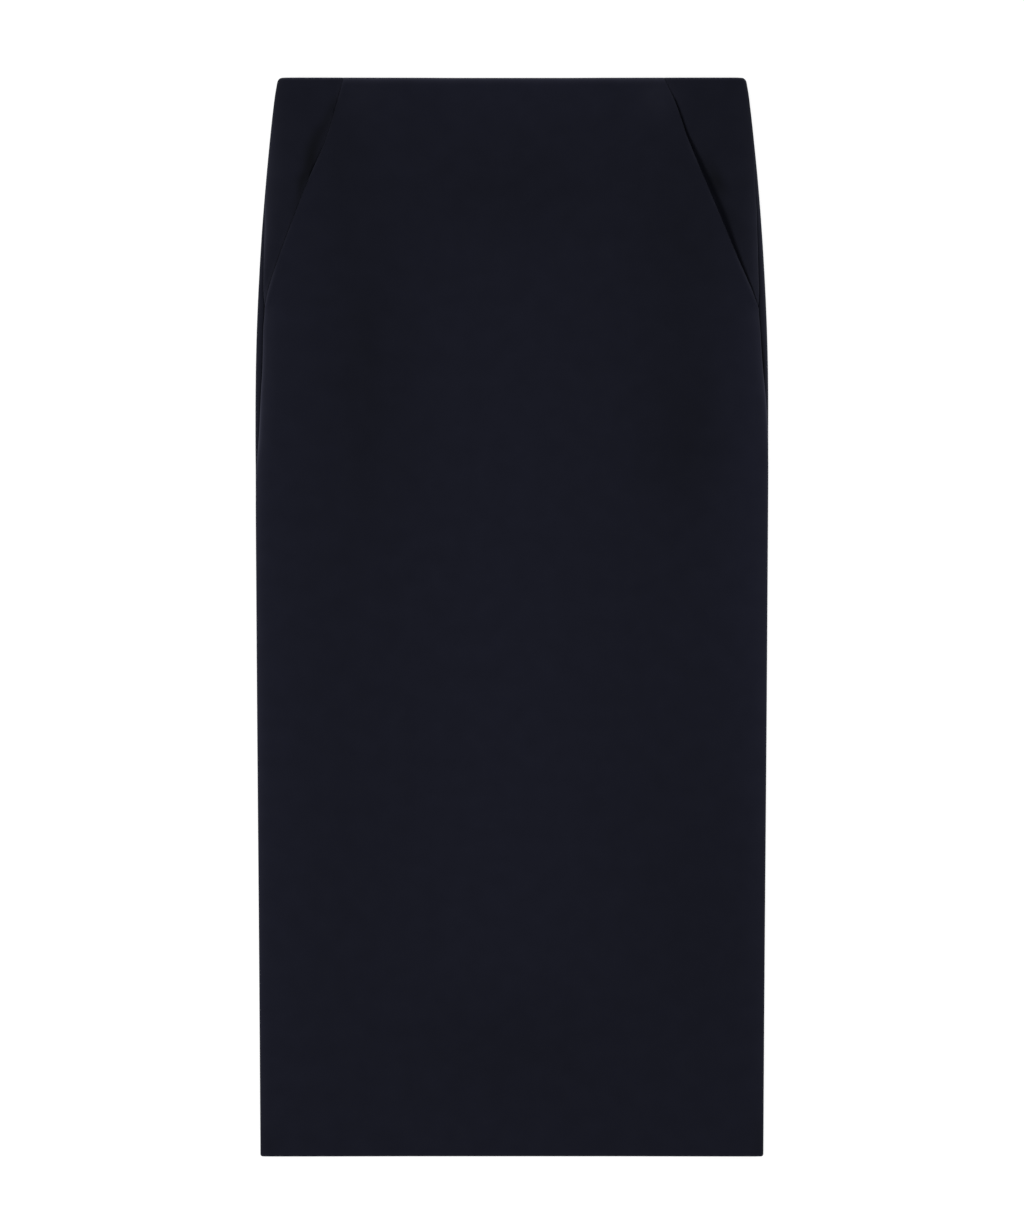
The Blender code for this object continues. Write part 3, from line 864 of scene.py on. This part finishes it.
def pocket_ways(side, depth):
    """The columns of a pocket back, where they lie, and how far it has left the side seam."""
    seam = seam_way(side, depth) + SEAM_GAP / 2
    round_off = corner_pull(np.maximum(BAG_DEPTH - depth, 0.0), BAG_CORNER)
    below_mouth = way_at(BAG_SIDE_INSET + round_off, depth)
    hidden = ease((depth - MOUTH_END) / POCKET_HIDE_RUN)
    edge = seam + hidden * (below_mouth - seam)
    end = way_at(half_width(depth) - BAG_EDGE[side] - round_off, depth)
    start = edge + EDGE_REACH
    past_mouth = np.maximum(mouth_way(side, depth) + PAST_MOUTH, start + SLOPE_RUN)
    past_mouth = np.minimum(past_mouth, start + SLOPE_SHARE * (end - start))
    part = np.arange(POCKET_SLOPE_STEPS + 1) / POCKET_SLOPE_STEPS
    slope_way = start * (1.0 - part) + past_mouth * part
    hidden_way = graded(past_mouth, end, POCKET_HIDDEN_STEPS, first_share=0.4)[:, 1:]
    return edge, np.concatenate((slope_way, hidden_way), axis=1), hidden


print("pocket back under the front, mm:", round((2 * CLOTH + POCKET_CLEARANCE) / MM, 2))

# %% [markdown]
# A pocket back is painted too: a painted highlight along the side seam, with a wide soft
# painted glow beside that line, and another along the mouth that rests on it. Its tone also
# carries the painted shade of the hollow.

# %% The pocket backs
# painted highlights: how strong the glow beside each side seam is
POCKET_GLOW = table(
    "depth left right",
    (0.010, 0.01, 0.05),
    (0.025, 0.05, 0.07),
    (0.045, 0.13, 0.09),
    (0.090, 0.15, 0.14),
    (0.115, 0.12, 0.19),
    (0.150, 0.05, 0.21),
    (0.190, 0.06, 0.15),
)
POCKET_GLOW_WIDTH = {"left": 8 * MM, "right": 5 * MM}
SEAM_SHINE_WIDTH = {"left": 1.8 * MM, "right": 1.2 * MM}
POCKET_TONE = {"left": 0.72, "right": 0.69}
MOUTH_SHARE = {"left": 1.1, "right": 0.5}        # of the mouth edge's shine, beside it


def pocket_half(side):
    """The grid of one pocket back, from the side seam to its hidden front edge."""
    depth = pocket_depths[:, None]
    edge, open_way, hidden = pocket_ways(side, depth)
    way, sink = with_turned_edge(edge, 1.0, 0.5 * np.pi, SEAM_TURNING, open_way)
    square = square_places(way, edge, sink, 1.0)
    ridge = seam_ridge(side, way, depth) * (1.0 - hidden)
    sunk = sink + pocket_sinks[:, None] + pocket_below(side, way, depth) - ridge
    away = np.abs(way - edge)
    shine = read(SEAM_ROLL, side + "_shine", depth) * np.exp(-away / SEAM_SHINE_WIDTH[side])
    shine += read(POCKET_GLOW, side, depth) * np.exp(-away / POCKET_GLOW_WIDTH[side])
    from_mouth = np.abs(way - mouth_way(side, depth))
    shine += MOUTH_SHARE[side] * read(OPENING[side], "shine", depth) * np.exp(-from_mouth / MM)
    shine = shine * (1.0 - hidden) + end_shine(depth, 0.0, 0.0)
    tone_and_shade = POCKET_TONE[side] - hollow_shade(side, way, depth)
    return lay_on_section(side, way, depth, sunk, square), shine, tone_and_shade


pocket_backs = {}
pocket_middles = {}
for side in SIDES:
    pocket_middles[side], pocket_shine, pocket_tone_and_shade = pocket_half(side)
    pocket_backs[side] = make_sheet("pocket_back_sheet_" + side, pocket_middles[side], {
        "painted_highlight": pocket_shine + spots_on(CORNER_HIGHLIGHTS, pocket_middles[side]),
        "tone_and_shade": pocket_tone_and_shade,
    })

# %% [markdown]
# ## The cloth's surface
#
# Close up, this is a compact cloth with a fine irregular grain and a very faint rib along the
# length. Both are far too small to model, so they are bump. They are made once, as a node group
# that reads the cloth's own map in metres and puts out a height and a shade.

# %% A node group for the grain of the cloth
RIB_SHARE = 0.12                  # the rib's height beside that of the grain
GRAIN = {"Detail": 2.0, "Roughness": 0.6}
SLUB = {"Scale": 55.0, "Detail": 3.0}            # thicker and thinner stretches of yarn


def feed(tree, node, sources):
    """Feeds a node's inputs, by name or number, with links or plain values."""
    for key, source in sources.items():
        if isinstance(source, bpy.types.NodeSocket):
            tree.links.new(source, node.inputs[key])
        else:
            node.inputs[key].default_value = source


def add_node(tree, kind, sources=None, **settings):
    """Adds a node with its settings and what feeds it, and gives its outputs."""
    node = tree.nodes.new(kind)
    for key, value in settings.items():
        setattr(node, key, value)
    feed(tree, node, sources or {})
    return node.outputs


def math_node(tree, operation, *sources):
    """Adds a maths node whose inputs are links or numbers."""
    return add_node(tree, "ShaderNodeMath", dict(enumerate(sources)), operation=operation)[0]


def new_group(name, kind, inputs, outputs):
    """Starts a node group and gives its inputs too; sockets are given as numbers or by kind."""
    group = bpy.data.node_groups.new(name, kind)
    for direction, sockets in (("INPUT", inputs), ("OUTPUT", outputs)):
        for label, value in sockets.items():
            number = isinstance(value, float)
            socket_kind = "NodeSocket" + ("Float" if number else value)
            socket = group.interface.new_socket(name=label, in_out=direction, socket_type=socket_kind)
            if number:
                socket.default_value = value
    return group, add_node(group, "NodeGroupInput")


def build_grain():
    """Makes the group that draws the cloth's yarns from its map in metres."""
    group, given = new_group(
        "yarn_grain", "ShaderNodeTree", {"Place": "Vector", "Rib pitch": 0.0009, "Grain size": 0.0005},
        {"Height": "Float", "Shade": "Float"})
    place = given["Place"]
    across = add_node(group, "ShaderNodeSeparateXYZ", {0: place})["X"]
    turns = math_node(group, "DIVIDE", across, given["Rib pitch"])
    rib = math_node(group, "SINE", math_node(group, "MULTIPLY", turns, 2 * math.pi))
    scale = math_node(group, "DIVIDE", 1.0, given["Grain size"])
    fine = add_node(group, "ShaderNodeTexNoise", {"Vector": place, "Scale": scale, **GRAIN})["Fac"]
    slub = add_node(group, "ShaderNodeTexNoise", {"Vector": place, **SLUB})["Fac"]
    height = math_node(group, "ADD", math_node(group, "MULTIPLY", rib, RIB_SHARE), fine)
    shade = math_node(group, "MULTIPLY", slub, fine)
    add_node(group, "NodeGroupOutput", {"Height": height, "Shade": shade})
    return group


yarn_grain = build_grain()
print("node group:", yarn_grain.name, [item.name for item in yarn_grain.interface.items_tree])

# %% [markdown]
# ## The finish
#
# Black and navy cloth is mostly absence: it gives back about one part in a hundred of the
# light. A plain shader would add a hard reflection four times as strong as that, which real
# yarn doesn't have, so the specular level is turned far down and a little sheen takes its
# place, for the soft light along every bend. The colour runs from the deepest to the lightest
# tone and on to a painted highlight, by the values painted on the sheets, which also carry
# painted shade.

# %% The navy cloth
# the deepest colour shows only where the painted shade is deepest
CLOTH_DEEP = (0.0006, 0.0008, 0.0008, 1.0)
CLOTH_LIGHT = (0.0059, 0.0064, 0.0122, 1.0)
# the colour of the painted highlight along edges, seams and mouths
CLOTH_HIGHLIGHT = (0.0313, 0.0323, 0.0475, 1.0)
FLECK_DEEP = (0.82, 0.82, 0.84, 1.0)             # the grain's shade, as a factor on the colour
FLECK_LIGHT = (1.5, 1.5, 1.45, 1.0)
MIX_FIRST, MIX_SECOND, MIX_RESULT = 6, 7, 2      # the colour sockets of a Mix node


def mix_colours(tree, mask, first, second, **settings):
    """Mixes two colours, links or constants, by a mask."""
    sources = {"Factor": mask, MIX_FIRST: first, MIX_SECOND: second}
    settings = {"data_type": "RGBA", "clamp_factor": False, **settings}
    return add_node(tree, "ShaderNodeMix", sources, **settings)[MIX_RESULT]


def new_material(name):
    """Starts a material, and gives its tree and its shader too."""
    material = bpy.data.materials.new(name)
    material.use_nodes = True
    return material, material.node_tree, material.node_tree.nodes["Principled BSDF"]


def bump(tree, height, strength, distance):
    """Lets a height stand out of the surface, as a normal for the shader."""
    sources = {"Height": height, "Strength": strength, "Distance": distance}
    return add_node(tree, "ShaderNodeBump", sources)["Normal"]


def make_cloth(name):
    """The finish of the skirt's cloth."""
    material, tree, shader = new_material(name)
    flat = add_node(tree, "ShaderNodeUVMap", uv_map="cloth")["UV"]
    grain = add_node(tree, "ShaderNodeGroup", {"Place": flat}, node_tree=yarn_grain)
    tone_and_shade = add_node(tree, "ShaderNodeAttribute", attribute_name="tone_and_shade")["Fac"]
    painted_highlight = add_node(tree, "ShaderNodeAttribute", attribute_name="painted_highlight")["Fac"]
    # the tone value carries painted light and shade as well as the cloth's tone
    shaded_tone = mix_colours(tree, tone_and_shade, CLOTH_DEEP, CLOTH_LIGHT)
    # mixes in the painted highlight, by its painted value
    highlighted = mix_colours(tree, painted_highlight, shaded_tone, CLOTH_HIGHLIGHT)
    flecks = mix_colours(tree, grain["Shade"], FLECK_DEEP, FLECK_LIGHT)
    feed(tree, shader, {
        "Base Color": mix_colours(tree, 1.0, highlighted, flecks, blend_type="MULTIPLY", clamp_factor=True),
        "Roughness": 0.92,
        "Specular IOR Level": 0.06,
        "Sheen Weight": 0.06,
        "Sheen Roughness": 0.45,
        "Sheen Tint": (0.75, 0.80, 1.0, 1.0),
        "Normal": bump(tree, grain["Height"], 0.35, 0.12 * MM),
    })
    return material


navy_cloth = make_cloth("navy_cloth")
sheets = (front, back, *pocket_backs.values())
for sheet in sheets:
    sheet.data.materials.append(navy_cloth)
print("cloth finish:", len(navy_cloth.node_tree.nodes), "nodes, on", len(sheets), "sheets")

# %% [markdown]
# ## The stitches of the side seams
#
# A side seam is held by a row of small stitches, which show as short bars deep in the groove
# between the two rolled edges. Sewing thread is smoother than the cloth, so its finish is a
# little glossier, with the same grain drawn much finer.

# %% The thread's finish
def make_thread(name):
    """The finish of the sewing thread: the cloth's colour with a little more gloss."""
    material, tree, shader = new_material(name)
    place = add_node(tree, "ShaderNodeTexCoord")["Object"]
    sources = {"Place": place, "Grain size": 0.12 * MM}
    grain = add_node(tree, "ShaderNodeGroup", sources, node_tree=yarn_grain)
    feed(tree, shader, {
        "Base Color": mix_colours(tree, grain["Shade"], CLOTH_DEEP, CLOTH_LIGHT),
        "Roughness": 0.55,
        "Specular IOR Level": 0.15,
        "Normal": bump(tree, grain["Height"], 0.3, 0.04 * MM),
    })
    return material


seam_thread = make_thread("seam_thread")
print("thread:", len(seam_thread.node_tree.nodes), "nodes")

# %% [markdown]
# The stitches repeat along a path, so Geometry Nodes set them out: a line with a stored
# direction across the seam is cut into even steps, and each step gets one short round-ended
# bar, turned to that direction. A sewing machine does the same with its feed and its needle.

# %% A tree of nodes that sews
def build_stitcher():
    """Makes the Geometry Nodes tree that sets stitches along a line."""
    tree, given = new_group(
        "seam_stitches", "GeometryNodeTree",
        {"Geometry": "Geometry", "Pitch": 0.0026, "Stitch length": 0.0012, "Thread": 0.00032,
         "Finish": "Material"},
        {"Geometry": "Geometry"})
    thread = given["Thread"]

    def add(kind, sources, **settings):
        """Adds a node to this tree and gives its first output."""
        return add_node(tree, kind, sources, **settings)[0]

    line = add("GeometryNodeMeshToCurve", {"Mesh": given["Geometry"]})
    steps = add("GeometryNodeResampleCurve", {"Curve": line, "Length": given["Pitch"]}, mode="LENGTH")
    bar = add("GeometryNodeMeshUVSphere", {"Segments": 8, "Rings": 5, "Radius": 0.5})
    size = add("ShaderNodeCombineXYZ", {"X": given["Stitch length"], "Y": thread, "Z": thread})
    shaped = add("GeometryNodeTransform", {"Geometry": bar, "Scale": size})
    across = add("GeometryNodeInputNamedAttribute", {"Name": "across"}, data_type="FLOAT_VECTOR")
    turned = add("FunctionNodeAlignRotationToVector", {"Vector": across}, axis="X")
    placed = add("GeometryNodeInstanceOnPoints", {"Points": steps, "Instance": shaped, "Rotation": turned})
    real = add("GeometryNodeRealizeInstances", {"Geometry": placed})
    smooth = add("GeometryNodeSetShadeSmooth", {"Geometry": real})
    finish = add("GeometryNodeSetMaterial", {"Geometry": smooth, "Material": given["Finish"]})
    add_node(tree, "NodeGroupOutput", {"Geometry": finish})
    return tree


stitcher = build_stitcher()
print("stitcher inputs:", [s.name for s in stitcher.interface.items_tree if s.in_out == "INPUT"])

# %% [markdown]
# The tree gets its lines, one down each groove, and its sizes. The result is realized and made
# a plain mesh, so that the stitches are a piece like any other.

# %% Sewing both side seams
LINE_POINTS = 300
ACROSS_STEP = 0.1 * MM
STITCH_PITCH = 2.6 * MM
STITCH_LENGTH = 1.3 * MM
THREAD = 0.32 * MM
STITCH_SINK = 0.80 * MM
SEAM_END = 3 * MM


def seam_line():
    """The lines of both side seams, down in their grooves, with the direction across."""
    depth = np.linspace(SEAM_END, LENGTH - SEAM_END, LINE_POINTS)[:, None]
    points, edges, across = [], [], []
    for side in SIDES:
        way = seam_way(side, depth)
        middle = lay_on_section(side, way, depth, np.full(way.shape, STITCH_SINK))
        ahead = lay_on_section(side, way + ACROSS_STEP, depth, np.full(way.shape, STITCH_SINK))
        start = len(points)
        points += middle[:, 0].tolist()
        across += (ahead - middle)[:, 0].tolist()
        edges += [(start + row, start + row + 1) for row in range(len(depth) - 1)]
    mesh = bpy.data.meshes.new("seam_lines")
    mesh.from_pydata(points, edges, [])
    mesh.attributes.new("across", "FLOAT_VECTOR", "POINT")
    mesh.attributes["across"].data.foreach_set("vector", np.array(across, np.float32).ravel())
    return mesh


line_holder = add_object("seam_line", seam_line())
sewing = line_holder.modifiers.new("stitches", "NODES")
sewing.node_group = stitcher
values = {"Pitch": STITCH_PITCH, "Stitch length": STITCH_LENGTH, "Thread": THREAD, "Finish": seam_thread}
for item in stitcher.interface.items_tree:
    if item.in_out == "INPUT" and item.name in values:
        sewing[item.identifier] = values[item.name]
evaluated = line_holder.evaluated_get(bpy.context.evaluated_depsgraph_get())
stitch_mesh = bpy.data.meshes.new_from_object(evaluated)
stitch_mesh.name = "side_seam_stitches"
stitch_mesh.materials.clear()
stitch_mesh.materials.append(seam_thread)
stitch_mesh.polygons.foreach_set("material_index", [0] * len(stitch_mesh.polygons))
bpy.data.objects.remove(line_holder)
stitches = add_object("side_seam_stitches", stitch_mesh)
print("stitches:", len(stitch_mesh.polygons), "faces,", [m.name for m in stitch_mesh.materials])

# %% [markdown]
# ## Attaching each sheet to the frame
#
# Every piece rides on the skirt's one body: each sheet is attached to it, and the solid panel
# that it stands for is hidden.


def hand_over(sheet, node):
    """Gives a finished sheet to the frame."""
    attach(sheet, "root")
    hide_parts(node)


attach(stitches, "root")
hand_over(back, "back")
for side, sheet in pocket_backs.items():
    hand_over(sheet, "pocket_back_" + side)
hand_over(front, "front")

# %% [markdown]
# ## The table
#
# The skirt lies on a plain, almost white table. It gives a little light of its own, like a
# light table, which keeps it clean and white right up to the edge of the cloth.

# %% The table
TABLE_HALF = 8.0
TABLE_BELOW = 0.3 * MM            # just clear of the cloth that lies on it
TABLE_DEEP = (0.34, 0.34, 0.34, 1.0)
TABLE_LIGHT = (0.36, 0.36, 0.36, 1.0)
TABLE_GLOW = 0.74
WHITE = (1.0, 1.0, 1.0, 1.0)


def make_table_finish(name):
    """A matt white that also glows a little."""
    material, tree, shader = new_material(name)
    mottle = add_node(tree, "ShaderNodeTexNoise", {"Scale": 3.0})["Fac"]
    feed(tree, shader, {
        "Base Color": mix_colours(tree, mottle, TABLE_DEEP, TABLE_LIGHT),
        "Roughness": 0.9,
        "Specular IOR Level": 0.1,
        "Emission Color": WHITE,
        "Emission Strength": TABLE_GLOW,
    })
    return material


table_mesh = bpy.data.meshes.new("floor")
table_corners = [(x * TABLE_HALF, y * TABLE_HALF, -TABLE_BELOW)
                 for x, y in ((-1, -1), (1, -1), (1, 1), (-1, 1))]
table_mesh.from_pydata(table_corners, [], [(0, 1, 2, 3)])
table_mesh.materials.append(make_table_finish("pale_table"))
floor = add_object("floor", table_mesh)
floor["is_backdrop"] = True
print("table:", 2 * TABLE_HALF, "m wide")

# %% [markdown]
# ## The light
#
# Dark cloth needs light from all round, so the room itself is bright and does most of the
# work. A softbox low at each side lights the rounded edges, the left one stronger, so that the
# two sides of the skirt differ a little.

# %% The light
SOFTBOXES = table(
    "name x y z size_x size_y power",
    ("softbox_left", -1.7, 0.0, 1.1, 2.0, 1.2, 24.0),
    ("softbox_right", 1.7, 0.0, 1.1, 2.0, 1.2, 13.0),
)
SKY_STRENGTH = 0.85

for box in SOFTBOXES:
    lamp = bpy.data.lights.new(box.name, "AREA")
    lamp.shape = "RECTANGLE"
    lamp.size = box.size_x
    lamp.size_y = box.size_y
    lamp.energy = box.power
    holder = add_object(box.name, lamp)
    holder.location = (box.x, box.y, box.z)
    holder.rotation_euler = (-holder.location).to_track_quat("-Z", "Y").to_euler()
    holder.visible_camera = False

sky = bpy.data.worlds.new("studio")
sky.use_nodes = True
feed(sky.node_tree, sky.node_tree.nodes["Background"], {"Color": WHITE, "Strength": SKY_STRENGTH})
bpy.context.scene.world = sky
bpy.context.scene.view_settings.view_transform = "Standard"
print("softboxes, watts:", [box.power for box in SOFTBOXES])

# %% [markdown]
# ## The camera
#
# The camera is straight above the skirt and far away, with a long lens, so that the edges stay
# parallel. The lens follows from how much the picture's long side should span.

# %% The camera
CAMERA_HEIGHT = 8.0
SENSOR = 36.0
CAMERA_PLACE = (0.08 * MM, 1.71 * MM, CAMERA_HEIGHT)    # the skirt lies just below the middle
VIEW_LENGTH = 1.00370             # what the picture's long side spans at the fold's height
camera_data = bpy.data.cameras.new("camera")
camera_data.sensor_fit = "AUTO"
camera_data.sensor_width = SENSOR
camera_data.lens = SENSOR * (CAMERA_HEIGHT - BACK_FOLD_RADIUS) / VIEW_LENGTH
camera = add_object("camera", camera_data)
camera.location = CAMERA_PLACE
bpy.context.scene.camera = camera
print(f"lens {camera_data.lens:.1f} mm")
